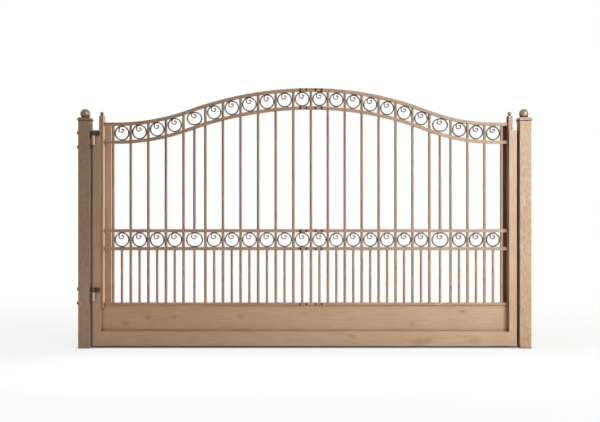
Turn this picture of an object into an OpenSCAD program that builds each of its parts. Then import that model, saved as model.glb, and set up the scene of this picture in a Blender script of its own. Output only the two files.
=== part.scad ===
// Single-leaf driveway gate with an arched top and two rows of scrolled rings, between two posts.
// All sizes are millimetres. The origin is the middle of the hinge post's foot, +X runs towards
// the latch post, +Y towards the back of the gate and +Z up.

/* [Posts] */
// Side of each square post
post_w = 100; // [80:1:130]
// Height of the posts above the jambs, up to the underside of their caps
post_h = 86; // [50:1:400]
// Clear way between the two posts
clear_way = 3800; // [3400:1:4300]
// Thickness of the cap's lower plate
cap_plate_t = 14; // [6:1:30]
// How far the lower plate stands out past the post
cap_over = 8; // [2:1:20]
// Thickness of the cap's upper step
cap_step_t = 10; // [4:1:20]
// How far the upper step is set in from the lower plate
cap_step_in = 7; // [3:1:15]
// Diameter of the ball on each post
ball_d = 88; // [74:1:98]
// Diameter of the collar under the ball
collar_d = 66; // [50:1:72]
// Height of the collar under the ball
collar_h = 7; // [3:1:12]
// How deep the ball sits in its collar
ball_seat = 16; // [9:1:18]

/* [Leaf frame] */
// Running gap between the leaf and each post
side_gap = 20; // [14:1:40]
// Height of the leaf above the ground
ground_gap = 15; // [10:1:60]
// How far the leaf's front is set back from the front of the posts
leaf_set_back = 30; // [24:1:34]
// Depth of the jambs and of the sill
frame_d = 97; // [90:1:130]
// Height of the sill
sill_h = 125; // [90:1:180]
// Width of each jamb
jamb_w = 66; // [50:1:80]
// Height of the jambs above the sill
jamb_h = 1790; // [1500:1:2100]
// Height of the kick panel
panel_h = 232; // [160:1:300]
// Thickness of the kick panel
panel_t = 20; // [12:1:30]
// How far the kick panel is set back in the frame
panel_recess = 62; // [56:1:68]

/* [Stiles] */
// Width of each stile
stile_w = 36; // [28:1:40]
// How far the hinge-side stile shows past its jamb
hinge_show = 20; // [8:1:24]
// How far the latch-side stile shows past its jamb
latch_show = 0; // [0:1:24]
// Height of the stiles above the jambs
stile_h = 131; // [100:1:200]
// How far the stiles are set back in the frame
stile_recess = 22; // [12:1:40]
// How far each stile laps down over the kick panel
stile_lap = 22; // [10:1:40]
// Diameter of the small ball on each stile
stile_ball_d = 36; // [26:1:40]
// Height of the neck under the small ball
stile_neck_h = 5; // [3:1:12]
// Diameter of the neck under the small ball
stile_neck_d = 18; // [12:1:22]
// How deep the small ball sits in its neck
stile_ball_seat = 3; // [2:0.5:4]
// Depth of the box return behind each stile
return_d = 200; // [120:1:260]
// Width of the box return
return_w = 50; // [40:1:56]
// How far the return stands in past the stile
return_proud = 4; // [0:1:14]
// Height of the return above the jambs
return_h = 78; // [20:1:120]
// Corner radius of the return's free edges
return_r = 6; // [2:1:15]

/* [Rails] */
// Height of a rail, seen from the front
rail_h = 28; // [20:1:36]
// Depth of a rail
rail_d = 36; // [34:1:44]
// How far the middle of the bars and rails is set back in the frame
infill_recess = 65; // [62:1:68]
// Height of the bottom rail
bottom_rail_h = 20; // [14:1:36]
// Middle of the lower middle rail above the kick panel
lower_mid_up = 503; // [380:1:560]
// Middle of the upper middle rail above the lower one
ring_row_rise = 160; // [150:1:180]
// Middle of the arched top rail's ends above the jambs
arch_up = 58; // [20:1:80]
// Rise of the arched rails from their ends to the crown
arch_rise = 307; // [200:1:380]
// Length of straight rail between each stile and the arch
arch_flat = 100; // [20:1:160]
// Share of each half of the arch that bends about the crown
arch_share = 0.62; // [0.5:0.01:0.7]
// Drop from the top rail to the second arched rail
arch_drop = 161; // [150:1:185]

/* [Bars] */
// Diameter of the long bars
bar_d = 25; // [18:1:28]
// Diameter of the short bars in the lower part
dog_bar_d = 22; // [14:1:26]
// How far the centre bar stands from the middle of the leaf, towards the latch
centre_bar_off = 56; // [0:1:70]
// Spacing of the long bars on the hinge side
left_pitch = 157.5; // [140:0.5:165]
// Spacing of the long bars on the latch side
right_pitch = 151.5; // [140:0.5:155]
// Extra width of the one wide bay on each side
wide_extra = 38; // [20:1:50]
// Number of bars between the centre bar and the wide bay on the hinge side
left_wide_after = 6; // [4:1:7]
// Number of bars between the centre bar and the wide bay on the latch side
right_wide_after = 7; // [4:1:7]
// Least free distance between an end bar and its stile
end_clear = 14; // [6:1:60]

/* [Rings] */
// Radial thickness of a ring
ring_t = 10; // [6:1:12]
// Depth of rings and scrolls, front to back
ring_depth = 14; // [8:1:24]
// Extra width of the oval ring in a wide bay
oval_extra = 20; // [8:1:30]
// Radial thickness of a scroll
scroll_t = 7.5; // [5:0.5:8]
// Radius of the scroll's lower bend, along its middle line
scroll_r = 20.5; // [18:0.5:23]
// Radius of the scroll's inner curl, along its middle line
curl_r = 8.5; // [8:0.5:9.5]
// Height of the scroll's bends above the middle of the ring
scroll_up = 28; // [25:0.5:31]
// How far the scroll's lower bend is set towards the hinge side
scroll_side = 6.5; // [3:0.5:10]
// How far the scroll's root in the ring is set towards the hinge side
scroll_root = 13; // [9:0.5:17]
// Turn of the scroll's inner curl, in degrees
curl_turn = 140; // [110:1:160]
// Diameter of the scroll's rounded tip
tip_d = 10.5; // [9:0.5:11]

/* [Splices] */
// Length of a splice plate
splice_len = 67; // [40:1:75]
// Thickness of a splice plate
splice_t = 4; // [2:0.5:6]
// Distance from the centre bar to the near end of a splice plate
splice_off = 35; // [18:1:45]
// Width of the splice bolts' oblong heads
splice_head_d = 14; // [8:1:15]
// How far a head stays in from the upper and lower edges of its plate
splice_head_in = 2; // [1:0.5:4]
// Height of the splice bolts' heads
splice_head_h = 4; // [2:0.5:7]

/* [Hinges] */
// Distance from the post's face to the hinge axis
axis_off = 34; // [33:1:40]
// Distance from the posts' front back to the hinge axis
axis_back = 12; // [8:1:12]
// Diameter of the hinge pin
pin_d = 16; // [10:1:18]
// Diameter of the barrel that carries the pin
barrel_d = 24; // [20:1:24]
// Height of the barrel
barrel_h = 80; // [50:1:110]
// Thickness of the web between the barrel and its plate
web_t = 12; // [8:1:18]
// How far the pin stands out above the strap
pin_proud = 5; // [2:1:10]
// Diameter of the strap's eye
eye_d = 30; // [26:1:32]
// Height of the strap
strap_h = 40; // [26:1:50]
// Thickness of the strap where it lies on the jamb
strap_t = 8; // [5:1:10]
// Distance of the upper strap below the top of the jamb
strap_drop = 12.5; // [8:0.5:80]
// Height of the lower strap's upper edge above the sill
lower_strap_up = 395; // [300:1:600]
// Height of the plate on the post
plate_h = 156; // [140:1:200]
// Width of the plate on the post
plate_w = 60; // [44:1:70]
// Thickness of the plate on the post
plate_t = 6; // [4:1:8]
// Distance of the plate's lower end below the barrel
plate_below = 33; // [10:1:60]
// Distance of the plate's bolts from its ends
plate_bolt_in = 15; // [14:1:30]
// Distance of the plate's bolts behind its front edge
plate_bolt_back = 20; // [20:1:46]
// Diameter of the bolts through the post
post_bolt_d = 16; // [10:1:18]
// Size of those bolts' hexagon heads, across the corners
post_head_d = 24; // [18:1:28]
// Height of those bolts' heads
post_head_h = 8; // [4:1:9]
// Radius of the domed nuts outside the post
dome_r = 16; // [10:1:20]
// Diameter of the washers outside the post
washer_d = 36; // [24:1:40]
// Thickness of the washers
washer_t = 3; // [1:0.5:4]
// Diameter of the bolts in the straps
strap_bolt_d = 10; // [6:1:12]
// Size of the strap bolts' hexagon heads, across the corners
strap_head_d = 17; // [12:1:22]
// Height of the strap bolts' heads
strap_head_h = 7; // [4:1:9]
// Distance of the strap's bolt from the end of the strap
strap_bolt_in = 24; // [20:1:30]
// How deep a strap bolt reaches into the jamb
bolt_bite = 30; // [15:1:60]

/* [Fits] */
// Radial play of the pin in the strap's eye
pin_play = 0.08; // [0.02:0.01:0.1]
// Height of the eye above its barrel
eye_play = 0.3; // [0.2:0.1:1]
// Play of a bar or bolt in its drilled hole
hole_play = 0.2; // [0.1:0.05:0.5]
// Play between a ring and what it is set against
ring_play = 0.3; // [0.2:0.1:0.6]

/* [Hidden] */
$fn = 64;
bronze = "#a37b60";
dark_bronze = "#5b3f30";
// How far a cut runs past the faces it opens
past = 1;
// Rounding step of worked-out radii
fine = 0.01;

// Places along the gate
latch_x = clear_way + post_w;
leaf_x0 = post_w / 2 + side_gap;
leaf_x1 = latch_x - leaf_x0;
leaf_mid = latch_x / 2;
jamb_in = leaf_x0 + jamb_w;
infill_x0 = jamb_in + hinge_show;
infill_x1 = latch_x - jamb_in - latch_show;
centre_bar_x = leaf_mid + centre_bar_off;

// Places from front to back
posts_y0 = -post_w / 2;
frame_y0 = posts_y0 + leaf_set_back;
frame_y1 = frame_y0 + frame_d;
stile_y0 = frame_y0 + stile_recess;
panel_y0 = frame_y0 + panel_recess;
infill_y = frame_y0 + infill_recess;
rail_y0 = infill_y - rail_d / 2;

// Heights
sill_top = ground_gap + sill_h;
jamb_top = sill_top + jamb_h;
post_top = jamb_top + post_h;
stile_top = jamb_top + stile_h;
return_top = jamb_top + return_h;
arch_z = jamb_top + arch_up;
panel_top = sill_top + panel_h;
bottom_rail_top = panel_top + bottom_rail_h;
lower_mid_z = panel_top + lower_mid_up;
upper_mid_z = lower_mid_z + ring_row_rise;
cap_h = cap_plate_t + cap_step_t;

// Each half of the arch is two arcs that meet on one tangent. The crown stands over the centre bar.
arch_steps = 20;
function arch_half(side) = (side < 0 ? centre_bar_x - infill_x0 : infill_x1 - centre_bar_x) - arch_flat;
function arch_turn(side) = 2 * atan(arch_rise / arch_half(side));
function crown_r(side) = arch_share * arch_half(side) / sin(arch_turn(side));
function foot_r(side) = (1 - arch_share) * arch_half(side) / sin(arch_turn(side));

// Long bars are counted from the centre bar, negative towards the hinge
bar_reach = end_clear + bar_d / 2 + wide_extra;
left_bays = floor((centre_bar_x - infill_x0 - bar_reach) / left_pitch);
right_bays = floor((infill_x1 - centre_bar_x - bar_reach) / right_pitch);
bar_ids = [-left_bays : right_bays];
bay_ids = [-left_bays : right_bays - 1];
wide_bays = [-left_wide_after - 1, right_wide_after];
function bar_x(i) = centre_bar_x + (i < 0 ? i * left_pitch : i * right_pitch)
    + (i < -left_wide_after ? -wide_extra : 0)
    + (i > right_wide_after ? wide_extra : 0);
function bay_x(i) = (bar_x(i) + bar_x(i + 1)) / 2;
function bay_clear(i) = bar_x(i + 1) - bar_x(i) - bar_d;
function is_wide(i) = i == wide_bays[0] || i == wide_bays[1];

// Height of the top rail's middle line at a place along the gate, and its slope there
function side_of(x) = x < centre_bar_x ? -1 : 1;
function crown_dist(x) = abs(x - centre_bar_x);
function foot_dist(x) = max(0, arch_half(side_of(x)) - crown_dist(x));
function on_crown(x) = crown_dist(x) < arch_share * arch_half(side_of(x));
function arc_fall(r, u) = r - sqrt(r * r - u * u);
function arch_mid_z(x) = on_crown(x)
    ? arch_z + arch_rise - arc_fall(crown_r(side_of(x)), crown_dist(x))
    : arch_z + arc_fall(foot_r(side_of(x)), foot_dist(x));
function arch_slope(x) = on_crown(x)
    ? asin(crown_dist(x) / crown_r(side_of(x)))
    : asin(foot_dist(x) / foot_r(side_of(x)));

// Ring sizes: as large as the bay and the space between the rails allow
mid_clear = ring_row_rise - rail_h;
function oval(i) = is_wide(i) ? oval_extra : 0;
function arch_clear(i) = arch_drop * cos(arch_slope(bay_x(i))) - rail_h
    - oval(i) * sin(arch_slope(bay_x(i)));
function ring_d(i, clear) = min(bay_clear(i) - oval(i), clear) - 2 * ring_play;

// Hinges
hinge_x = post_w / 2 + axis_off;
hinge_y = posts_y0 + axis_back;
plate_y0 = hinge_y - web_t / 2;
plate_bolt_y = plate_y0 + plate_bolt_back;
upper_eye_z = jamb_top - strap_drop - strap_h;
lower_eye_z = sill_top + lower_strap_up - strap_h;
strap_bolt_x = jamb_in - strap_bolt_in;
function plate_z0(eye_z) = eye_z - eye_play - barrel_h - plate_below;
function plate_bolt_zs(eye_z) =
    [plate_z0(eye_z) + plate_bolt_in, plate_z0(eye_z) + plate_h - plate_bolt_in];

// Helpers

// Mirrors what stands on the hinge side to the latch side
module latch_side() {
    translate([latch_x, 0, 0]) mirror([1, 0, 0]) children();
}

// A box between two corners
module box(low, high) {
    translate(low) cube(high - low);
}

// A round bar along X, from x0 to x1
module x_bar(x0, x1, y, z, d, sides = $fn) {
    translate([x0, y, z]) rotate([0, 90, 0]) cylinder(d = d, h = x1 - x0, $fn = sides);
}

// A round bar along Y, from y0 to y1
module y_bar(x, y0, y1, z, d, sides = $fn) {
    translate([x, y1, z]) rotate([90, 0, 0]) cylinder(d = d, h = y1 - y0, $fn = sides);
}

// A round bar along Z, from z0 to z1
module z_bar(x, y, z0, z1, d) {
    translate([x, y, z0]) cylinder(d = d, h = z1 - z0);
}

// A bent flat bar: the part of an upright ring about (x, z) that starts at an angle and sweeps on
module bent_bar(x, z, r, start, sweep, t, y0, depth) {
    translate([x, y0 + depth, z]) rotate([90, 0, 0]) rotate([0, 0, start])
        rotate_extrude(angle = sweep) translate([r - t / 2, 0]) square([t, depth]);
}

// A line along the top rail, off by so much above or below its middle line
function foot_point(side, turn, off) = [
    centre_bar_x + side * (arch_half(side) - (foot_r(side) - off) * sin(turn)),
    arch_z + foot_r(side) - (foot_r(side) - off) * cos(turn)
];
function crown_point(side, turn, off) = [
    centre_bar_x + side * (crown_r(side) + off) * sin(turn),
    arch_z + arch_rise - crown_r(side) + (crown_r(side) + off) * cos(turn)
];
function half_line(side, off) = concat(
    [for (k = [0 : arch_steps]) foot_point(side, arch_turn(side) * k / arch_steps, off)],
    [for (k = [arch_steps - 1 : -1 : 1]) crown_point(side, arch_turn(side) * k / arch_steps, off)]
);
function arch_line(off) = concat(
    [[infill_x0, arch_z + off]],
    half_line(-1, off),
    [crown_point(1, 0, off)],
    backwards(half_line(1, off)),
    [[infill_x1, arch_z + off]]
);
function backwards(line) = [for (k = [len(line) - 1 : -1 : 0]) line[k]];

// The curved course of an arched rail, at the top rail's height
module arch_course(t, y0, depth) {
    translate([0, y0 + depth, 0]) rotate([90, 0, 0]) linear_extrude(depth)
        polygon(concat(arch_line(t / 2), backwards(arch_line(-t / 2))));
}

// Posts

// A square post, standing on the origin
module post() {
    box([-post_w / 2, -post_w / 2, 0], [post_w / 2, post_w / 2, post_top]);
}

// A stepped square cap
module post_cap() {
    plate = post_w / 2 + cap_over;
    step = plate - cap_step_in;
    box([-plate, -plate, post_top], [plate, plate, post_top + cap_plate_t]);
    box([-step, -step, post_top + cap_plate_t], [step, step, post_top + cap_h]);
}

// A ball on a collar, turned about Z with its flat foot at zero
module ball_finial(ball, neck_d, neck_h, seat) {
    rotate_extrude() intersection() {
        union() {
            translate([0, neck_h + ball / 2 - seat]) circle(d = ball);
            square([neck_d / 2, neck_h]);
        }
        square([ball, neck_h + 2 * ball]);
    }
}

module post_ball() {
    translate([0, 0, post_top + cap_h]) ball_finial(ball_d, collar_d, collar_h, ball_seat);
}

module hinge_post() {
    color(bronze) difference() {
        post();
        for (eye_z = [upper_eye_z, lower_eye_z], z = plate_bolt_zs(eye_z)) {
            x_bar(-post_w / 2 - past, post_w / 2 + past, plate_bolt_y, z, post_bolt_d + 2 * hole_play);
        }
    }
}

module latch_post() {
    color(bronze) latch_side() post();
}

module hinge_post_cap() {
    color(bronze) post_cap();
}

module latch_post_cap() {
    color(bronze) latch_side() post_cap();
}

module hinge_post_ball() {
    color(bronze) post_ball();
}

module latch_post_ball() {
    color(bronze) latch_side() post_ball();
}

// Hinges

// Plate on the post with a barrel and an upright pin, which the strap's eye drops onto
module pintle(eye_z) {
    barrel_top = eye_z - eye_play;
    barrel_z = barrel_top - barrel_h;
    z0 = plate_z0(eye_z);
    difference() {
        box([post_w / 2, plate_y0, z0], [post_w / 2 + plate_t, plate_y0 + plate_w, z0 + plate_h]);
        for (z = plate_bolt_zs(eye_z)) {
            x_bar(post_w / 2 - past, post_w / 2 + plate_t + past, plate_bolt_y, z,
                post_bolt_d + 2 * hole_play);
        }
    }
    box([post_w / 2 + plate_t, plate_y0, barrel_z],
        [hinge_x, hinge_y + web_t / 2, barrel_top]);
    z_bar(hinge_x, hinge_y, barrel_z, barrel_top, barrel_d);
    z_bar(hinge_x, hinge_y, barrel_z, eye_z + strap_h + pin_proud, pin_d);
}

// Bolts through the post: a hexagon head on the plate, a washer and a domed nut outside
module post_bolts(eye_z) {
    head_x = post_w / 2 + plate_t;
    washer_x = -post_w / 2 - washer_t;
    for (z = plate_bolt_zs(eye_z)) {
        x_bar(washer_x, head_x, plate_bolt_y, z, post_bolt_d);
        x_bar(head_x, head_x + post_head_h, plate_bolt_y, z, post_head_d, 6);
        x_bar(washer_x, -post_w / 2, plate_bolt_y, z, washer_d);
        translate([washer_x, plate_bolt_y, z]) rotate([0, -90, 0]) intersection() {
            sphere(r = dome_r);
            cylinder(r = dome_r + past, h = dome_r + past);
        }
    }
}

// Strap on the jamb with an eye for the pin
module strap(eye_z) {
    difference() {
        union() {
            z_bar(hinge_x, hinge_y, eye_z, eye_z + strap_h, eye_d);
            box([hinge_x, frame_y0 - strap_t, eye_z], [jamb_in, frame_y0, eye_z + strap_h]);
        }
        z_bar(hinge_x, hinge_y, eye_z - past, eye_z + strap_h + past, pin_d + 2 * pin_play);
        y_bar(strap_bolt_x, frame_y0 - strap_t - past, frame_y0 + past, eye_z + strap_h / 2,
            strap_bolt_d + 2 * hole_play);
    }
}

module upper_hinge_pintle() {
    color(dark_bronze) pintle(upper_eye_z);
}

module lower_hinge_pintle() {
    color(dark_bronze) pintle(lower_eye_z);
}

module upper_post_bolts() {
    color(dark_bronze) post_bolts(upper_eye_z);
}

module lower_post_bolts() {
    color(dark_bronze) post_bolts(lower_eye_z);
}

module upper_hinge_strap() {
    color(dark_bronze) strap(upper_eye_z);
}

module lower_hinge_strap() {
    color(dark_bronze) strap(lower_eye_z);
}

// One hexagon bolt through each strap into the jamb
module strap_bolts() {
    strap_front = frame_y0 - strap_t;
    color(dark_bronze) for (eye_z = [upper_eye_z, lower_eye_z]) {
        z = eye_z + strap_h / 2;
        y_bar(strap_bolt_x, strap_front - strap_head_h, strap_front, z, strap_head_d, 6);
        y_bar(strap_bolt_x, strap_front, frame_y0 + bolt_bite, z, strap_bolt_d);
    }
}

// Leaf frame

// An upright of the leaf's outer frame, on the hinge side, cut out at the back for its stile
module jamb(show) {
    x0 = jamb_in + show - stile_w;
    difference() {
        box([leaf_x0, frame_y0, sill_top], [jamb_in, frame_y1, jamb_top]);
        box([x0, stile_y0, panel_top], [jamb_in + past, frame_y1 + past, jamb_top + past]);
        box([x0, stile_y0, panel_top - stile_lap], [jamb_in + past, panel_y0, panel_top + past]);
    }
}

module left_jamb() {
    color(bronze) difference() {
        jamb(hinge_show);
        for (eye_z = [upper_eye_z, lower_eye_z]) {
            y_bar(strap_bolt_x, frame_y0 - past, frame_y0 + bolt_bite + hole_play, eye_z + strap_h / 2,
                strap_bolt_d + 2 * hole_play);
        }
    }
}

module right_jamb() {
    color(bronze) latch_side() jamb(latch_show);
}

module sill_beam() {
    color(bronze) box([leaf_x0, frame_y0, ground_gap], [leaf_x1, frame_y1, sill_top]);
}

module kick_panel() {
    color(bronze) box([jamb_in, panel_y0, sill_top],
        [latch_x - jamb_in, panel_y0 + panel_t, panel_top]);
}

// Stiles with their finials and returns

// An upright let into the back of its jamb, which laps down over the kick panel's face
module stile(show) {
    x1 = jamb_in + show;
    x0 = x1 - stile_w;
    box([x0, stile_y0, panel_top], [x1, frame_y1, stile_top]);
    box([x0, stile_y0, panel_top - stile_lap], [x1, panel_y0, panel_top]);
}

module stile_finial(show) {
    translate([jamb_in + show - stile_w / 2, (stile_y0 + frame_y1) / 2, stile_top])
        ball_finial(stile_ball_d, stile_neck_d, stile_neck_h, stile_ball_seat);
}

// A deep box behind the jamb and the stile, with rounded free edges
module return_box(show) {
    x1 = jamb_in + show + return_proud;
    x0 = x1 - return_w;
    y1 = frame_y1 + return_d;
    translate([0, 0, ground_gap]) linear_extrude(return_top - ground_gap) union() {
        translate([x0, frame_y1]) square([return_w, return_d - return_r]);
        translate([x0 + return_r, y1 - return_r]) square([return_w - 2 * return_r, return_r]);
        for (x = [x0 + return_r, x1 - return_r]) {
            translate([x, y1 - return_r]) circle(r = return_r);
        }
    }
}

module left_stile() {
    color(bronze) stile(hinge_show);
}

module right_stile() {
    color(bronze) latch_side() stile(latch_show);
}

module left_stile_finial() {
    color(bronze) stile_finial(hinge_show);
}

module right_stile_finial() {
    color(bronze) latch_side() stile_finial(latch_show);
}

module left_return() {
    color(bronze) return_box(hinge_show);
}

module right_return() {
    color(bronze) latch_side() return_box(latch_show);
}

// Rails

// A straight rail about the height z, drilled for the long bars
module mid_rail(z) {
    difference() {
        box([infill_x0, rail_y0, z - rail_h / 2], [infill_x1, rail_y0 + rail_d, z + rail_h / 2]);
        for (i = bar_ids) {
            z_bar(bar_x(i), infill_y, z - rail_h, z + rail_h, bar_d + 2 * hole_play);
        }
    }
}

// The top rail has a blind hole from below for each long bar
module top_arch_rail() {
    color(bronze) difference() {
        arch_course(rail_h, rail_y0, rail_d);
        for (i = bar_ids) {
            hole_top = arch_mid_z(bar_x(i)) + ring_play;
            z_bar(bar_x(i), infill_y, hole_top - 2 * rail_h, hole_top, bar_d + 2 * hole_play);
        }
    }
}

// The second rail is drilled through, and has a blind hole from below in each wide bay
module second_arch_rail() {
    color(bronze) difference() {
        translate([0, 0, -arch_drop]) arch_course(rail_h, rail_y0, rail_d);
        for (i = bar_ids) {
            z = arch_mid_z(bar_x(i)) - arch_drop;
            z_bar(bar_x(i), infill_y, z - 2 * rail_h, z + 2 * rail_h, bar_d + 2 * hole_play);
        }
        for (i = wide_bays) {
            hole_top = arch_mid_z(bay_x(i)) - arch_drop + ring_play;
            z_bar(bay_x(i), infill_y, hole_top - 2 * rail_h, hole_top, bar_d + 2 * hole_play);
        }
    }
}

module upper_mid_rail() {
    color(bronze) mid_rail(upper_mid_z);
}

module lower_mid_rail() {
    color(bronze) mid_rail(lower_mid_z);
}

module bottom_rail() {
    color(bronze) box([infill_x0, rail_y0, panel_top],
        [infill_x1, panel_y0 + panel_t, bottom_rail_top]);
}

// Bars

module main_bars() {
    color(bronze) for (i = bar_ids) {
        z_bar(bar_x(i), infill_y, bottom_rail_top, arch_mid_z(bar_x(i)), bar_d);
    }
}

// The extra bar in each wide bay, from the upper middle rail to the second arched rail
module wide_bay_bars() {
    color(bronze) for (i = wide_bays) {
        z_bar(bay_x(i), infill_y, upper_mid_z + rail_h / 2, arch_mid_z(bay_x(i)) - arch_drop, bar_d);
    }
}

// A short bar in the middle of each bay, under the lower middle rail
module dog_bars() {
    color(bronze) for (i = bay_ids) {
        z_bar(bay_x(i), infill_y, bottom_rail_top, lower_mid_z - rail_h / 2, dog_bar_d);
    }
}

// Rings

// A ring about (x, z), drawn out to an oval where extra is more than zero
module ring(x, z, d, extra, y0) {
    r = (d - ring_t) / 2;
    bent_bar(x + extra / 2, z, r, -90, 180, ring_t, y0, ring_depth);
    bent_bar(x - extra / 2, z, r, 90, 180, ring_t, y0, ring_depth);
    if (extra > 0) {
        for (side = [-1, 1]) {
            mid_z = z + side * r;
            box([x - extra / 2, y0, mid_z - ring_t / 2],
                [x + extra / 2, y0 + ring_depth, mid_z + ring_t / 2]);
        }
    }
}

// A scroll rooted in the ring: three bends, each tangent to the next, and a rounded tip
module scroll(x, z, d, y0) {
    bend_z = z + scroll_up;
    low_x = x - scroll_side;
    run = scroll_side + scroll_r - scroll_root;
    climb = sqrt(pow((d - ring_t) / 2, 2) - pow(scroll_root, 2)) - scroll_up;
    root_r = round((run * run + climb * climb) / (2 * run * fine)) * fine;
    root_sweep = 180 - atan2(climb, run - root_r);
    curl_x = low_x + scroll_r - curl_r;
    translate([low_x - scroll_r + root_r, 0, bend_z]) mirror([0, 0, 1])
        bent_bar(0, 0, root_r, 180, root_sweep, scroll_t, y0, ring_depth);
    bent_bar(low_x, bend_z, scroll_r, 180, 180, scroll_t, y0, ring_depth);
    bent_bar(curl_x, bend_z, curl_r, 0, curl_turn, scroll_t, y0, ring_depth);
    y_bar(curl_x + curl_r * cos(curl_turn), y0, y0 + ring_depth, bend_z + curl_r * sin(curl_turn), tip_d);
}

module scrolled_ring(i, z, clear) {
    y0 = infill_y - ring_depth / 2;
    d = ring_d(i, clear);
    ring(bay_x(i), z, d, oval(i), y0);
    scroll(bay_x(i), z, d, y0);
}

module arch_rings() {
    color(bronze) for (i = bay_ids) {
        scrolled_ring(i, arch_mid_z(bay_x(i)) - arch_drop / 2, arch_clear(i));
    }
}

module mid_rings() {
    color(bronze) for (i = bay_ids) {
        scrolled_ring(i, (lower_mid_z + upper_mid_z) / 2, mid_clear);
    }
}

// Splices

// Splice plates on the front of one straight rail, either side of the centre bar
module straight_splice(z0, z1) {
    for (side = [-1, 1]) {
        x = centre_bar_x + side * (splice_off + splice_len / 2);
        box([x - splice_len / 2, rail_y0 - splice_t, z0], [x + splice_len / 2, rail_y0, z1]);
    }
}

// Splice plates on an arched rail follow its curve
module arch_splice() {
    for (side = [-1, 1]) {
        x = centre_bar_x + side * (splice_off + splice_len / 2);
        intersection() {
            arch_course(rail_h, rail_y0 - splice_t, splice_t);
            box([x - splice_len / 2, rail_y0 - 2 * splice_t, arch_z],
                [x + splice_len / 2, rail_y0 + splice_t, arch_z + arch_rise + rail_h]);
        }
    }
}

module splice_plates() {
    color(dark_bronze) {
        arch_splice();
        translate([0, 0, -arch_drop]) arch_splice();
        straight_splice(upper_mid_z - rail_h / 2, upper_mid_z + rail_h / 2);
        straight_splice(lower_mid_z - rail_h / 2, lower_mid_z + rail_h / 2);
        straight_splice(panel_top, bottom_rail_top);
    }
}

// An oblong bolt head about (x, z), as tall as the rail allows
module splice_head(x, z, rail) {
    y1 = rail_y0 - splice_t;
    y0 = y1 - splice_head_h;
    straight = (rail - splice_head_d) / 2 - splice_head_in;
    box([x - splice_head_d / 2, y0, z - straight], [x + splice_head_d / 2, y1, z + straight]);
    for (side = [-1, 1]) {
        y_bar(x, y0, y1, z + side * straight, splice_head_d);
    }
}

// Heads near both ends of each splice plate
module splice_bolts() {
    far = splice_off + splice_len - splice_head_d / 2;
    near = splice_off + splice_head_d / 2;
    color(dark_bronze) for (along = [-far, -near, near, far]) {
        x = centre_bar_x + along;
        for (z = [arch_mid_z(x), arch_mid_z(x) - arch_drop, upper_mid_z, lower_mid_z]) {
            splice_head(x, z, rail_h);
        }
        splice_head(x, panel_top + bottom_rail_h / 2, bottom_rail_h);
    }
}

hinge_post();
latch_post();
hinge_post_cap();
latch_post_cap();
hinge_post_ball();
latch_post_ball();
upper_hinge_pintle();
lower_hinge_pintle();
upper_post_bolts();
lower_post_bolts();
sill_beam();
left_jamb();
right_jamb();
kick_panel();
left_stile();
right_stile();
left_stile_finial();
right_stile_finial();
left_return();
right_return();
top_arch_rail();
second_arch_rail();
upper_mid_rail();
lower_mid_rail();
bottom_rail();
main_bars();
wide_bay_bars();
dog_bars();
arch_rings();
mid_rings();
splice_plates();
splice_bolts();
upper_hinge_strap();
lower_hinge_strap();
strap_bolts();
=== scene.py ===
"""Looks of the driveway gate: satin bronze coat, dark hardware, welds, camera and studio light."""
import math
import random

import bmesh
import bpy
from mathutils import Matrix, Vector


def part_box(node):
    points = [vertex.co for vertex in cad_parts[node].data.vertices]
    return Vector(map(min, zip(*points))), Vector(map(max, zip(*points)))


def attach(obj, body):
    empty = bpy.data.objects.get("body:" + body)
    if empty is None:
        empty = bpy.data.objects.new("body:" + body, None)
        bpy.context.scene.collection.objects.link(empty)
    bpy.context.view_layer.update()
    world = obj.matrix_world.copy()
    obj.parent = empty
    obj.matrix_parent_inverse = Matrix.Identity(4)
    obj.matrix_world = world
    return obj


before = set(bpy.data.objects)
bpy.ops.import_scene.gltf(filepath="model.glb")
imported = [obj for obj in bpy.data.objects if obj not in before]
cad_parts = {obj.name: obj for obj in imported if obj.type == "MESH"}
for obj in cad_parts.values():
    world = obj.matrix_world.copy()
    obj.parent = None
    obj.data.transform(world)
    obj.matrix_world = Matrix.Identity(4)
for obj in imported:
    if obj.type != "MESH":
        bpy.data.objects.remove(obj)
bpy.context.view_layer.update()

random.seed(7)
MM = 0.001
scene = bpy.context.scene


# Mesh helpers

SAME_PLACE_DIGITS = 6
BEVEL_SEGMENTS = 2
BEVEL_ANGLE = math.radians(40)


def islands(node):
    """Lowest and highest corner of each separate solid in a CAD node, from left to right."""
    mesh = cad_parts[node].data
    first_at = {}
    root = []
    for v in mesh.vertices:
        place = tuple(round(c, SAME_PLACE_DIGITS) for c in v.co)
        root.append(first_at.setdefault(place, v.index))

    def find(i):
        """The vertex that stands for the whole solid of vertex i."""
        while root[i] != i:
            root[i] = root[root[i]]
            i = root[i]
        return i

    for face in mesh.polygons:
        first = find(face.vertices[0])
        for i in face.vertices[1:]:
            root[find(i)] = first
    boxes = {}
    for v in mesh.vertices:
        low, high = boxes.setdefault(find(v.index), (v.co.copy(), v.co.copy()))
        for axis in range(3):
            low[axis] = min(low[axis], v.co[axis])
            high[axis] = max(high[axis], v.co[axis])
    return sorted(boxes.values(), key=lambda box: box[0].x)


def add_piece(name, bm, body, material, smooth=True):
    """A new mesh piece that rides on a CAD body."""
    bmesh.ops.recalc_face_normals(bm, faces=bm.faces)
    mesh = bpy.data.meshes.new(name)
    bm.to_mesh(mesh)
    bm.free()
    mesh.materials.append(material)
    for face in mesh.polygons:
        face.use_smooth = smooth
    piece = bpy.data.objects.new(name, mesh)
    scene.collection.objects.link(piece)
    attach(piece, body)


def add_bevel(obj, width):
    """Rounds the sharp edges of a CAD node by a modifier, so its mesh stays as it is."""
    bevel = obj.modifiers.new("edge", "BEVEL")
    bevel.width = width
    bevel.segments = BEVEL_SEGMENTS
    bevel.limit_method = "ANGLE"
    bevel.angle_limit = BEVEL_ANGLE
    bevel.use_clamp_overlap = True


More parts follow.
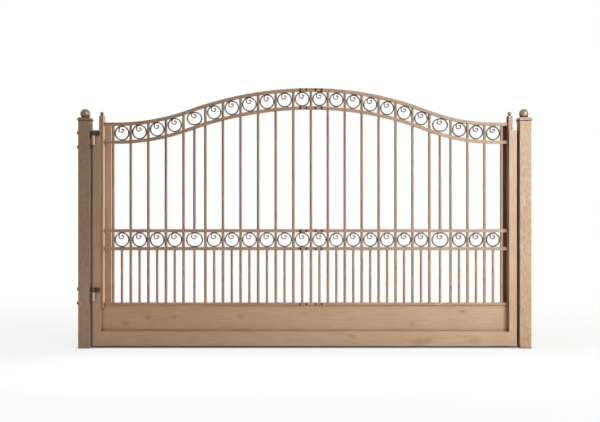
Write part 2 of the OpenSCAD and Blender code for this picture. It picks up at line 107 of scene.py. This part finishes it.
def add_revolve(bm, centre, axis, profile, sides):
    """Turns a profile of (radius, height) pairs about an axis through centre; radius 0 closes it."""
    axis = Vector(axis).normalized()
    across = axis.orthogonal().normalized()
    other = axis.cross(across)
    rings = []
    for radius, height in profile:
        foot = Vector(centre) + axis * height
        if radius == 0:
            rings.append([bm.verts.new(foot)])
            continue
        ring = []
        for k in range(sides):
            turn = 2 * math.pi * k / sides
            out = across * math.cos(turn) + other * math.sin(turn)
            ring.append(bm.verts.new(foot + out * radius))
        rings.append(ring)
    for low, high in zip(rings, rings[1:]):
        for k in range(sides):
            after = (k + 1) % sides
            if len(low) == 1:
                bm.faces.new((low[0], high[after], high[k]))
            elif len(high) == 1:
                bm.faces.new((low[k], low[after], high[0]))
            else:
                bm.faces.new((low[k], low[after], high[after], high[k]))


# Node helpers

OCCLUSION_SAMPLES = 12
OCCLUSION_RANGE = (0.25, 0.80)
EDGE_SAMPLES = 6
EDGE_RANGE = (0.985, 0.86)


class Nodes:
    """Short calls for building a material's node tree."""

    def __init__(self, name):
        self.material = bpy.data.materials.new(name)
        self.material.use_nodes = True
        self.tree = self.material.node_tree
        self.shader = self.tree.nodes["Principled BSDF"]
        self.place = self.tree.nodes.new("ShaderNodeTexCoord").outputs["Object"]

    def new(self, kind, **settings):
        node = self.tree.nodes.new(kind)
        for key, value in settings.items():
            setattr(node, key, value)
        return node

    def link(self, source, target):
        self.tree.links.new(source, target)

    def stretched(self, scale, turn=0.0):
        """The object's own place, turned about Y and scaled along X, Y and Z."""
        mapping = self.new("ShaderNodeMapping")
        mapping.inputs["Rotation"].default_value = (0.0, turn, 0.0)
        mapping.inputs["Scale"].default_value = scale
        self.link(self.place, mapping.inputs["Vector"])
        return mapping.outputs["Vector"]

    def noise(self, scale, detail, rough=0.55, stretch=(1.0, 1.0, 1.0)):
        """Noise in the object's own place, from 0 to 1."""
        noise = self.new("ShaderNodeTexNoise")
        noise.inputs["Scale"].default_value = scale
        noise.inputs["Detail"].default_value = detail
        noise.inputs["Roughness"].default_value = rough
        self.link(self.stretched(stretch), noise.inputs["Vector"])
        return noise.outputs["Fac"]

    def remap(self, value, source, target=(0.0, 1.0)):
        """Takes the source range to the target range, and holds the ends."""
        node = self.new("ShaderNodeMapRange")
        for socket, number in zip(node.inputs[1:5], (*source, *target)):
            socket.default_value = number
        self.link(value, node.inputs[0])
        return node.outputs[0]

    def math(self, operation, a, b=0.0):
        """Math node on two sockets or numbers; an operation on one value leaves b out."""
        node = self.new("ShaderNodeMath", operation=operation)
        for socket, value in zip(node.inputs, (a, b)):
            if isinstance(value, (int, float)):
                socket.default_value = value
            else:
                self.link(value, socket)
        return node.outputs[0]

    def mix(self, factor, a, b, blend="MIX"):
        """Colour mix of two sockets or two plain colours."""
        node = self.new("ShaderNodeMix", data_type="RGBA", blend_type=blend)
        if isinstance(factor, (int, float)):
            node.inputs[0].default_value = factor
        else:
            self.link(factor, node.inputs[0])
        for socket, value in zip((node.inputs[6], node.inputs[7]), (a, b)):
            if isinstance(value, tuple):
                socket.default_value = (*value, 1.0)
            else:
                self.link(value, socket)
        return node.outputs[2]

    def bump(self, height, strength, distance, below=None):
        """Normal of a height field, laid over another normal if one is given."""
        node = self.new("ShaderNodeBump")
        node.inputs["Strength"].default_value = strength
        node.inputs["Distance"].default_value = distance
        self.link(height, node.inputs["Height"])
        if below is not None:
            self.link(below, node.inputs["Normal"])
        return node.outputs["Normal"]

    def openness(self, reach):
        """1 where a face stands free, falling to 0 where others stand closer than reach."""
        occlusion = self.new("ShaderNodeAmbientOcclusion", samples=OCCLUSION_SAMPLES)
        occlusion.inputs["Distance"].default_value = reach
        return self.remap(occlusion.outputs["AO"], OCCLUSION_RANGE)

    def edge(self, radius):
        """1 along sharp edges, where a rounded normal leaves the face's own, and 0 on open faces."""
        rounded = self.new("ShaderNodeBevel", samples=EDGE_SAMPLES)
        rounded.inputs["Radius"].default_value = radius
        face = self.new("ShaderNodeNewGeometry")
        agreement = self.new("ShaderNodeVectorMath", operation="DOT_PRODUCT")
        self.link(rounded.outputs["Normal"], agreement.inputs[0])
        self.link(face.outputs["True Normal"], agreement.inputs[1])
        return self.remap(agreement.outputs["Value"], EDGE_RANGE)

    def spot(self, centre, radius, stretch):
        """1 in the middle of a soft spot, 0 outside it."""
        apart = self.new("ShaderNodeVectorMath", operation="SUBTRACT")
        self.link(self.place, apart.inputs[0])
        apart.inputs[1].default_value = centre
        scaled = self.new("ShaderNodeVectorMath", operation="MULTIPLY")
        self.link(apart.outputs[0], scaled.inputs[0])
        scaled.inputs[1].default_value = stretch
        length = self.new("ShaderNodeVectorMath", operation="LENGTH")
        self.link(scaled.outputs[0], length.inputs[0])
        return self.remap(length.outputs["Value"], (0.0, radius), (1.0, 0.0))


# Materials

LIGHT_BRONZE = (0.480, 0.312, 0.205)
DEEP_BRONZE = (0.370, 0.232, 0.150)
WARM_BRONZE = (0.400, 0.222, 0.130)
KNOT_BRONZE = (0.230, 0.110, 0.060)
WORN_BRONZE = (0.560, 0.400, 0.290)
HARDWARE = (0.045, 0.024, 0.014)
HARDWARE_RUBBED = (0.260, 0.160, 0.105)
# Near-black weld colour, which also serves as painted shade in the contact wedges at the rings and under
# the cap plates
WELD_AND_SHADE_DARK = (0.030, 0.014, 0.008)
WELD_BROWN = (0.095, 0.052, 0.030)

CREVICE_REACH = 35 * MM
WEAR_REACH = 6 * MM
GRAIN = {"x": (1.0, 26.0, 26.0), "z": (26.0, 26.0, 1.0), "none": (4.0, 4.0, 4.0)}
GRAIN_DEEP = 1.2 * MM
FLECK_DEEP = 0.4 * MM
FLECK_ROUGH = 0.03
KNOT_STRETCH = (0.55, 0.0, 1.0)
DENT_SCALE = (95.0, 60.0, 34.0)
DENT_TURN = math.radians(-40)
DENT_DEEP = 3 * MM


def tint(colour, shade):
    """A colour made darker or lighter by a factor."""
    return tuple(shade * c for c in colour)


def bronze(name, grain, knots=(), hammered=0.0, shade=1.0, sheen=0.0, painted_crevice_shade=0.88,
           wear_and_highlight=0.7, polish=0.0, metal=0.0):
    """Satin bronze coat with a brushed grain along x or z, mottling and dark knots.

    hammered is the strength of the dents, whose colour is also painted lighter in the hollows and darker
    on the ridges as their light and shade, shade scales the colours, sheen is the specular level, the
    crevice strength paints shade into crevices and dulls them, the edge strength lightens edges as wear
    and as a painted highlight, polish takes roughness away, and metal is the metallic share.
    """
    n = Nodes(name)
    streak = n.noise(scale=7.0, detail=6.0, rough=0.62, stretch=GRAIN[grain])
    mottle = n.noise(scale=3.1, detail=3.0)
    fleck = n.noise(scale=420.0, detail=2.0)

    colour = n.mix(n.remap(streak, (0.34, 0.66)), tint(DEEP_BRONZE, shade), tint(LIGHT_BRONZE, shade))
    colour = n.mix(n.remap(mottle, (0.46, 0.72), (0.0, 0.40)), colour, tint(WARM_BRONZE, shade))
    for x, z, radius in knots:
        knot = n.spot((x, 0.0, z), radius, KNOT_STRETCH)
        fade = n.math("MULTIPLY", knot, n.remap(streak, (0.3, 0.6), (0.9, 0.45)))
        colour = n.mix(fade, colour, KNOT_BRONZE)
    if hammered:
        cells = n.new("ShaderNodeTexVoronoi", feature="SMOOTH_F1")
        cells.inputs["Scale"].default_value = 1.0
        n.link(n.stretched(DENT_SCALE, DENT_TURN), cells.inputs["Vector"])
        dents = cells.outputs["Distance"]
        # Painted light and shade of the dents: lighter in the hollows, darker on the ridges
        colour = n.mix(1.0, colour, n.remap(dents, (0.15, 0.65), (1.06, 0.80)), "MULTIPLY")
    # Edges lightened towards the worn colour, as wear and as a painted highlight of edges catching the
    # light
    if wear_and_highlight:
        rubbed = n.math("MULTIPLY", n.edge(WEAR_REACH), n.remap(streak, (0.35, 0.60), (0.4 * wear_and_highlight, wear_and_highlight)))
        colour = n.mix(rubbed, colour, tint(WORN_BRONZE, shade))
    # Painted shade: the colour darkens where other faces stand close, and those places are dulled below
    freedom = n.openness(CREVICE_REACH)
    colour = n.mix(1.0, colour, n.remap(freedom, (0.0, 1.0), (1.0 - painted_crevice_shade, 1.0)), "MULTIPLY")
    n.link(colour, n.shader.inputs["Base Color"])

    speckle = n.remap(fleck, (0.3, 0.7), (-FLECK_ROUGH - polish, FLECK_ROUGH - polish))
    rough = n.math("ADD", n.remap(streak, (0.3, 0.7), (0.50, 0.42)), speckle)
    if painted_crevice_shade:
        rough = n.math("MAXIMUM", rough, n.remap(freedom, (0.0, 1.0), (1.0, 0.0)))
    n.link(rough, n.shader.inputs["Roughness"])

    normal = n.bump(fleck, 0.06, FLECK_DEEP)
    normal = n.bump(streak, 0.18, GRAIN_DEEP, normal)
    if hammered:
        normal = n.bump(dents, hammered, DENT_DEEP, normal)
    n.link(normal, n.shader.inputs["Normal"])
    n.shader.inputs["Specular IOR Level"].default_value = sheen
    n.shader.inputs["Metallic"].default_value = metal
    return n.material


def hardware(name, worn=(), rubbed=HARDWARE_RUBBED):
    """Dark oiled bronze, rubbed lighter in patches and bare round each worn upright axis."""
    n = Nodes(name)
    cloud = n.noise(scale=38.0, detail=5.0)
    fleck = n.noise(scale=600.0, detail=2.0)
    colour = n.mix(n.remap(cloud, (0.42, 0.70)), HARDWARE, rubbed)
    for x, y, radius in worn:
        bare = n.remap(n.spot((x, y, 0.0), 2 * radius, (1.0, 1.0, 0.0)), (0.40, 0.48))
        colour = n.mix(bare, colour, WORN_BRONZE)
    n.link(colour, n.shader.inputs["Base Color"])
    n.link(n.remap(cloud, (0.3, 0.7), (0.50, 0.38)), n.shader.inputs["Roughness"])
    n.link(n.bump(fleck, 0.15, FLECK_DEEP), n.shader.inputs["Normal"])
    n.shader.inputs["Metallic"].default_value = 0.3
    n.shader.inputs["Specular IOR Level"].default_value = 0.25
    return n.material


def weld(name):
    """Weld metal mottled near black and dark brown; at the rings and under the cap plates its near-black
    colour is also painted shade.
    """
    n = Nodes(name)
    cloud = n.noise(scale=90.0, detail=4.0)
    n.link(n.mix(n.remap(cloud, (0.35, 0.7)), WELD_AND_SHADE_DARK, WELD_BROWN), n.shader.inputs["Base Color"])
    n.link(n.remap(cloud, (0.3, 0.7), (0.65, 0.5)), n.shader.inputs["Roughness"])
    n.link(n.bump(cloud, 0.4, 1 * MM), n.shader.inputs["Normal"])
    n.shader.inputs["Metallic"].default_value = 0.2
    n.shader.inputs["Specular IOR Level"].default_value = 0.2
    return n.material


# Place (x, z) and radius of each knot in the coat, in metres
PANEL_KNOTS = [
    (0.345, 0.210, 0.032), (0.547, 0.263, 0.026), (0.780, 0.266, 0.022),
    (1.377, 0.266, 0.026), (2.910, 0.201, 0.028), (3.357, 0.311, 0.030),
]
SILL_KNOTS = [
    (2.369, 0.105, 0.026), (2.963, 0.048, 0.050), (3.043, 0.069, 0.032), (3.459, 0.060, 0.040),
]

# The hinge axis, where the barrels are rubbed bare
BARREL_R = 12 * MM
pintle_low, pintle_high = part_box("upper_hinge_pintle")
HINGE_X = pintle_high.x - BARREL_R
HINGE_Y = pintle_low.y + BARREL_R

upright_bronze = bronze("upright_bronze", "z", sheen=0.02)
# Darker than the other bronze: painted shade of the returns' inward faces
shaded_return_bronze = bronze("shaded_return_bronze", "z", shade=0.62)
jamb_bronze = bronze("jamb_bronze", "z", sheen=0.3)
bar_bronze = bronze("bar_bronze", "z", shade=0.86, sheen=0.1, wear_and_highlight=0.0)
level_bronze = bronze("level_bronze", "x", shade=0.90, sheen=0.25)
panel_bronze = bronze("panel_bronze", "x", PANEL_KNOTS, sheen=0.45)
sill_bronze = bronze("sill_bronze", "x", SILL_KNOTS, sheen=0.45, painted_crevice_shade=0.25, wear_and_highlight=0.9)
post_bronze = bronze("post_bronze", "z", hammered=0.6, sheen=0.25)
# A darker copy of the post bronze for the hinge post, with no crevice shade: painted shade of the post on
# the darker side
shaded_post_bronze = bronze("shaded_post_bronze", "z", hammered=0.4, shade=0.80, sheen=0.5, painted_crevice_shade=0.0)
cap_bronze = bronze("cap_bronze", "none", shade=0.80, sheen=0.3, wear_and_highlight=0.3)
turned_bronze = bronze("turned_bronze", "none", shade=0.72, sheen=0.2, wear_and_highlight=0.0, polish=0.07, metal=0.5)
ring_bronze = bronze("ring_bronze", "none", shade=0.30, sheen=0.05, wear_and_highlight=0.0)
dark_bronze = hardware("dark_bronze")
hinge_bronze = hardware("hinge_bronze", [(HINGE_X, HINGE_Y, BARREL_R)])
black_bronze = hardware("black_bronze", rubbed=WELD_BROWN)
weld_and_shade_metal = weld("weld_and_shade_metal")

# Material of each CAD node, and the width in mm of its rounded edges (0 leaves them as they are)
FINISH = {
    "hinge_post": (shaded_post_bronze, 4.0), "latch_post": (post_bronze, 4.0),
    "hinge_post_cap": (cap_bronze, 2.5), "latch_post_cap": (cap_bronze, 2.5),
    "hinge_post_ball": (turned_bronze, 0), "latch_post_ball": (turned_bronze, 0),
    "left_jamb": (jamb_bronze, 3.0), "right_jamb": (jamb_bronze, 3.0),
    "sill_beam": (sill_bronze, 6.0), "kick_panel": (panel_bronze, 1.5),
    "left_stile": (upright_bronze, 3.0), "right_stile": (upright_bronze, 3.0),
    "left_stile_finial": (turned_bronze, 0), "right_stile_finial": (turned_bronze, 0),
    "left_return": (shaded_return_bronze, 0), "right_return": (shaded_return_bronze, 0),
    "top_arch_rail": (level_bronze, 6.0), "second_arch_rail": (level_bronze, 6.0),
    "upper_mid_rail": (level_bronze, 6.0), "lower_mid_rail": (level_bronze, 6.0),
    "bottom_rail": (level_bronze, 6.0), "main_bars": (bar_bronze, 0),
    "wide_bay_bars": (bar_bronze, 0), "dog_bars": (bar_bronze, 0),
    "arch_rings": (ring_bronze, 1.0), "mid_rings": (ring_bronze, 1.0),
    "splice_plates": (level_bronze, 0.8), "splice_bolts": (black_bronze, 0.8),
    "upper_hinge_pintle": (hinge_bronze, 1.0), "lower_hinge_pintle": (hinge_bronze, 1.0),
    "upper_post_bolts": (dark_bronze, 0.8), "lower_post_bolts": (dark_bronze, 0.8),
    "upper_hinge_strap": (dark_bronze, 1.0), "lower_hinge_strap": (dark_bronze, 1.0),
    "strap_bolts": (dark_bronze, 0.8),
}
for node, (material, edge) in FINISH.items():
    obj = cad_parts[node]
    obj.data.materials.clear()
    obj.data.materials.append(material)
    if edge:
        add_bevel(obj, edge * MM)


# The rails, from the frame

# Level stretch at each end of the arch, and the crown arc's share of each half, as in the part's source
ARCH_FLAT = 100 * MM
ARCH_SHARE = 0.62
rail_low, rail_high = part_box("upper_mid_rail")
arch_low, arch_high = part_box("top_arch_rail")
RAIL_H = rail_high.z - rail_low.z
INFILL_Y = (rail_low.y + rail_high.y) / 2
ARCH_RISE = arch_high.z - arch_low.z - RAIL_H
centre_bar = max(islands("main_bars"), key=lambda box: box[1].z)
CROWN_X = (centre_bar[0].x + centre_bar[1].x) / 2


def arch_slope(x):
    """Signed slope angle of the arched rails at x: positive where they rise to the right."""
    half = (CROWN_X - arch_low.x if x < CROWN_X else arch_high.x - CROWN_X) - ARCH_FLAT
    reach = half / math.sin(2 * math.atan(ARCH_RISE / half))
    from_crown = abs(x - CROWN_X)
    if from_crown < ARCH_SHARE * half:
        slope = math.asin(from_crown / (ARCH_SHARE * reach))
    else:
        slope = math.asin(max(0.0, half - from_crown) / ((1 - ARCH_SHARE) * reach))
    return math.copysign(slope, CROWN_X - x)


# Welds of the rings, dark as painted shade of the contact wedges

BEAD_DEPTH = 12 * MM
BEAD_LAP = 0.8 * MM
BEAD_STEPS = 10
BEAD_FLARE = 1.12
BEAD_WOBBLE = 0.06
TOP_BEAD_HALF = 22 * MM
FOOT_BEAD_HALF = 15 * MM
SIDE_BEAD_HALF = 11 * MM


def add_bead(bm, x, z, radius, turn, half):
    """Weld in the wedge between a ring about (x, z) and the face that it touches in direction turn; its
    dark colour is painted shade of that wedge.
    """
    out = Vector((math.cos(turn), 0.0, math.sin(turn)))
    along = Vector((-math.sin(turn), 0.0, math.cos(turn)))
    centre = Vector((x, INFILL_Y, z))
    spread = [half * (2 * k / BEAD_STEPS - 1) for k in range(BEAD_STEPS + 1)]
    on_ring = [(u, math.sqrt(radius ** 2 - u ** 2) - BEAD_LAP) for u in spread]
    on_face = [(u * BEAD_FLARE, radius + BEAD_LAP) for u in reversed(spread)]
    front, back = [], []
    for u, w in on_ring + on_face:
        wobble = 1 + random.uniform(-BEAD_WOBBLE, BEAD_WOBBLE)
        foot = centre + along * (u * wobble) + out * w
        thick = Vector((0.0, BEAD_DEPTH / 2 * wobble, 0.0))
        front.append(bm.verts.new(foot - thick))
        back.append(bm.verts.new(foot + thick))
    count = len(front)
    for k in range(BEAD_STEPS):
        facing = count - 1 - k
        bm.faces.new((front[k], front[k + 1], front[facing - 1], front[facing]))
        bm.faces.new((back[k], back[facing], back[facing - 1], back[k + 1]))
    for k in range(count):
        after = (k + 1) % count
        bm.faces.new((front[k], back[k], back[after], front[after]))


def ring_welds(node, sloped):
    """Welds at the top, foot and sides of each scrolled ring, dark as painted shade of the contact
    wedges.
    """
    bm = bmesh.new()
    for low, high in islands(node):
        x, z = (low.x + high.x) / 2, (low.z + high.z) / 2
        radius = (high.z - low.z) / 2
        extra = (high.x - low.x) / 2 - radius
        slope = arch_slope(x) if sloped else 0.0
        lean = math.copysign(extra, slope) if sloped else 0.0
        add_bead(bm, x - lean, z, radius, math.radians(90) + slope, TOP_BEAD_HALF)
        add_bead(bm, x + lean, z, radius, math.radians(-90) + slope, FOOT_BEAD_HALF)
        add_bead(bm, x - extra, z, radius, math.radians(180), SIDE_BEAD_HALF)
        add_bead(bm, x + extra, z, radius, 0.0, SIDE_BEAD_HALF)
    add_piece(node + "_welds", bm, "leaf", weld_and_shade_metal, smooth=False)


# Welds of the bars

COLLAR_SIZE = 4.0 * MM
COLLAR_SIDES = 20
# Outline of a collar in shares of its size: out from the bar's face, and away from the rail
COLLAR_PROFILE = [(-0.25, 0.0), (1.0, 0.0), (0.45, 0.35), (0.12, 0.8), (-0.25, 1.0)]


def add_collar(bm, x, z, radius, up):
    """Small weld fillet round a bar where it meets a level face."""
    profile = [(radius + out * COLLAR_SIZE, away * COLLAR_SIZE) for out, away in COLLAR_PROFILE]
    add_revolve(bm, (x, INFILL_Y, z), (0, 0, up), profile, COLLAR_SIDES)


def bar_welds():
    """Collars where the bars come out of the level rails."""
    bm = bmesh.new()
    on_bottom = (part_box("bottom_rail")[1].z, 1)
    under_lower = (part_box("lower_mid_rail")[0].z, -1)
    on_upper = (rail_high.z, 1)
    places = {
        "main_bars": (on_bottom, under_lower, on_upper),
        "dog_bars": (on_bottom, under_lower),
        "wide_bay_bars": (on_upper,),
    }
    for bars, faces in places.items():
        for low, high in islands(bars):
            for z, up in faces:
                add_collar(bm, (low.x + high.x) / 2, z, (high.x - low.x) / 2, up)
    add_piece("bar_welds", bm, "leaf", bar_bronze)


# Welds of the splice plates and caps, and a bolt end; the dark cap welds are also painted shadow lines
# under the caps

SPLICE_WELD_WIDE = 12 * MM
SPLICE_WELD_PROUD = 1.5 * MM
SPLICE_WELD_SUNK = 0.3 * MM
# Outline of a run in shares of its width and height: in from the plate's end, and out from its face
SPLICE_WELD_PROFILE = [(0.0, 0.2), (0.25, 0.9), (0.6, 1.0), (1.0, 0.2)]


def splice_welds():
    """A dark weld run down each end of every splice plate."""
    bm = bmesh.new()
    for low, high in islands("splice_plates"):
        for edge, inward in ((low.x, 1), (high.x, -1)):
            front = [(edge + inward * u * SPLICE_WELD_WIDE, low.y - v * SPLICE_WELD_PROUD)
                     for u, v in SPLICE_WELD_PROFILE]
            back = [(x, low.y + SPLICE_WELD_SUNK) for x in (front[-1][0], front[0][0])]
            foot, head = ([bm.verts.new((x, y, z)) for x, y in front + back] for z in (low.z, high.z))
            for k in range(len(foot)):
                after = (k + 1) % len(foot)
                bm.faces.new((foot[k], foot[after], head[after], head[k]))
            bm.faces.new(foot)
            bm.faces.new(head)
    add_piece("splice_welds", bm, "leaf", weld_and_shade_metal, smooth=False)


CAP_WELD_HIGH = 7 * MM
CAP_WELD_OUT = 5 * MM
CAP_WELD_LIP = 0.3 * MM
CAP_WELD_SUNK = 1 * MM


def cap_welds(post):
    """Fillet weld round the post, in the corner under its cap plate; its dark colour is also a painted
    shadow line under the cap.
    """
    bm = bmesh.new()
    low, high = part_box(post)
    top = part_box(post + "_cap")[0].z
    foot = top - CAP_WELD_HIGH
    profile = [(-CAP_WELD_SUNK, top), (CAP_WELD_OUT, top), (0.4 * CAP_WELD_OUT, (top + foot) / 2),
               (CAP_WELD_LIP, foot), (-CAP_WELD_SUNK, foot)]
    loops = []
    for out, z in profile:
        corners = [(low.x - out, low.y - out), (high.x + out, low.y - out),
                   (high.x + out, high.y + out), (low.x - out, high.y + out)]
        loops.append([bm.verts.new((x, y, z)) for x, y in corners])
    for k, loop in enumerate(loops):
        following = loops[(k + 1) % len(loops)]
        for side in range(4):
            after = (side + 1) % 4
            bm.faces.new((loop[side], following[side], following[after], loop[after]))
    add_piece(post + "_cap_weld", bm, "posts", weld_and_shade_metal, smooth=False)


STILE_BOLT_R = 7 * MM
STILE_BOLT_HIGH = 0.7 * STILE_BOLT_R
STILE_BOLT_SUNK = 1 * MM
STILE_BOLT_BACK = 11 * MM
STILE_BOLT_Z = 503 * MM
STILE_BOLT_SIDES = 24
DOME_STEPS = 6


def stile_bolt():
    """Domed bolt end on the inner face of the hinge-side stile."""
    bm = bmesh.new()
    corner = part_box("left_stile")[1]
    centre = (corner.x, corner.y - STILE_BOLT_BACK, STILE_BOLT_Z)
    climb = [math.radians(90) * k / DOME_STEPS for k in range(DOME_STEPS)]
    dome = [(STILE_BOLT_R * math.cos(a), STILE_BOLT_HIGH * math.sin(a)) for a in climb]
    profile = [(0, -STILE_BOLT_SUNK), (STILE_BOLT_R, -STILE_BOLT_SUNK), *dome, (0, STILE_BOLT_HIGH)]
    add_revolve(bm, centre, (1, 0, 0), profile, STILE_BOLT_SIDES)
    add_piece("stile_bolt", bm, "leaf", dark_bronze)


ring_welds("arch_rings", sloped=True)
ring_welds("mid_rings", sloped=False)
bar_welds()
splice_welds()
cap_welds("hinge_post")
cap_welds("latch_post")
stile_bolt()


# Camera

CAMERA_PLACE = (1.95, -6.55, 1.31)
LENS_MM = 44.2
SENSOR_MM = 36.0
VIEW_SHIFT = (-0.00792, -0.0183)

camera_data = bpy.data.cameras.new("camera")
camera_data.lens = LENS_MM
camera_data.sensor_width = SENSOR_MM
camera_data.sensor_fit = "HORIZONTAL"
camera_data.shift_x, camera_data.shift_y = VIEW_SHIFT
camera = bpy.data.objects.new("camera", camera_data)
camera.location = CAMERA_PLACE
camera.rotation_euler = (math.radians(90), 0.0, 0.0)
scene.collection.objects.link(camera)
scene.camera = camera


# Floor, world and lamps

def seen_directly(tree):
    """1 for camera, glossy and transmission rays."""
    path = tree.nodes.new("ShaderNodeLightPath")
    total = path.outputs["Is Camera Ray"]
    for kind in ("Is Glossy Ray", "Is Transmission Ray"):
        top = tree.nodes.new("ShaderNodeMath")
        top.operation = "MAXIMUM"
        tree.links.new(total, top.inputs[0])
        tree.links.new(path.outputs[kind], top.inputs[1])
        total = top.outputs[0]
    return total


FLOOR_SIZE = 60.0
FLOOR_CELLS = 8
FLOOR_COLOUR = (0.36, 0.33, 0.30, 1.0)
FLOOR_ROUGH = 0.9
# Share of plain white in the floor near the gate, and how far from the sill it reaches full white
FLOOR_GLOW = 0.86
FLOOR_FAR = 3.0
SHADE_REACH = 0.12


def make_floor():
    """Pale paper that shows nearly white, with painted shade: its white falls away where something stands
    close, so the darker paper and its own shade show there.
    """
    sill_low, sill_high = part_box("sill_beam")
    middle = (sill_low + sill_high) / 2
    bm = bmesh.new()
    bmesh.ops.create_grid(bm, x_segments=FLOOR_CELLS, y_segments=FLOOR_CELLS, size=FLOOR_SIZE / 2)
    mesh = bpy.data.meshes.new("floor")
    bm.to_mesh(mesh)
    bm.free()
    floor = bpy.data.objects.new("floor", mesh)
    floor.location = (middle.x, middle.y, 0.0)
    scene.collection.objects.link(floor)

    n = Nodes("floor_paper")
    n.shader.inputs["Base Color"].default_value = FLOOR_COLOUR
    n.shader.inputs["Roughness"].default_value = FLOOR_ROUGH
    n.shader.inputs["Specular IOR Level"].default_value = 0.0
    split = n.new("ShaderNodeSeparateXYZ")
    n.link(n.place, split.inputs[0])
    beyond = []
    for axis, half in (("X", (sill_high.x - sill_low.x) / 2), ("Y", (sill_high.y - sill_low.y) / 2)):
        beyond.append(n.math("SUBTRACT", n.math("ABSOLUTE", split.outputs[axis]), half))
    apart = n.math("MAXIMUM", *beyond)
    # Painted shade: the paper's white falls away where something stands close to it
    near = n.math("MULTIPLY", n.openness(SHADE_REACH), FLOOR_GLOW)
    white = n.math("ADD", near, n.remap(apart, (SHADE_REACH, FLOOR_FAR), (0.0, 1.0 - FLOOR_GLOW)))
    mix = n.new("ShaderNodeMixShader")
    n.link(n.math("MULTIPLY", seen_directly(n.tree), white), mix.inputs[0])
    n.link(n.shader.outputs[0], mix.inputs[1])
    n.link(n.new("ShaderNodeEmission").outputs[0], mix.inputs[2])
    n.link(mix.outputs[0], n.tree.nodes["Material Output"].inputs["Surface"])
    mesh.materials.append(n.material)


WHITE = (1.0, 1.0, 1.0, 1.0)
FILL_LEFT = (0.016, 0.010, 0.007, 1.0)
FILL_RIGHT = (0.07, 0.07, 0.07, 1.0)


def make_world():
    """White where it is seen, and a soft fill that is stronger from the right."""
    world = bpy.data.worlds.new("studio")
    world.use_nodes = True
    scene.world = world
    tree = world.node_tree
    direction = tree.nodes.new("ShaderNodeTexCoord").outputs["Generated"]
    split = tree.nodes.new("ShaderNodeSeparateXYZ")
    tree.links.new(direction, split.inputs[0])
    # X is -1 at the left and 1 at the right
    side = tree.nodes.new("ShaderNodeMapRange")
    side.inputs[1].default_value = -1.0
    tree.links.new(split.outputs["X"], side.inputs[0])
    fill = tree.nodes.new("ShaderNodeMix")
    fill.data_type = "RGBA"
    fill.inputs[6].default_value = FILL_LEFT
    fill.inputs[7].default_value = FILL_RIGHT
    tree.links.new(side.outputs[0], fill.inputs[0])
    shown = tree.nodes.new("ShaderNodeMix")
    shown.data_type = "RGBA"
    shown.inputs[7].default_value = WHITE
    tree.links.new(seen_directly(tree), shown.inputs[0])
    tree.links.new(fill.outputs[2], shown.inputs[6])
    tree.links.new(shown.outputs[2], tree.nodes["Background"].inputs["Color"])


def add_lamp(name, place, aim, size, power, colour, spread=180):
    """Soft rectangular lamp; a small spread in degrees keeps its light in a beam."""
    data = bpy.data.lights.new(name, "AREA")
    data.shape = "RECTANGLE"
    data.size, data.size_y = size
    data.energy = power
    data.color = colour
    data.spread = math.radians(spread)
    lamp = bpy.data.objects.new(name, data)
    lamp.location = place
    lamp.rotation_euler = (Vector(aim) - Vector(place)).to_track_quat("-Z", "Y").to_euler()
    scene.collection.objects.link(lamp)


make_floor()
make_world()
# The key stands high at the right, which is the lighter side in the photo
add_lamp("key_lamp", place=(6.3, -5.0, 4.8), aim=(1.9, 0.0, 1.1), size=(2.0, 2.0),
         power=345.0, colour=(1.0, 0.98, 0.95))
# Turns the latch side from brown to cream
add_lamp("front_lamp", place=(4.4, -2.3, 1.8), aim=(3.2, 0.0, 1.0), size=(1.6, 1.6),
         power=62.0, colour=(0.76, 0.94, 1.0))
# Lights the paper in front of the gate
add_lamp("floor_lamp", place=(2.2, -1.0, 3.2), aim=(2.2, -1.0, 0.0), size=(5.2, 0.8),
         power=84.0, colour=(1.0, 0.98, 0.96), spread=32)
# Lights the back and the hinge-side return
add_lamp("back_lamp", place=(7.0, 5.0, 2.5), aim=(0.5, 0.1, 1.1), size=(2.0, 2.5),
         power=700.0, colour=(1.0, 0.97, 0.93))

scene.view_settings.view_transform = "Standard"
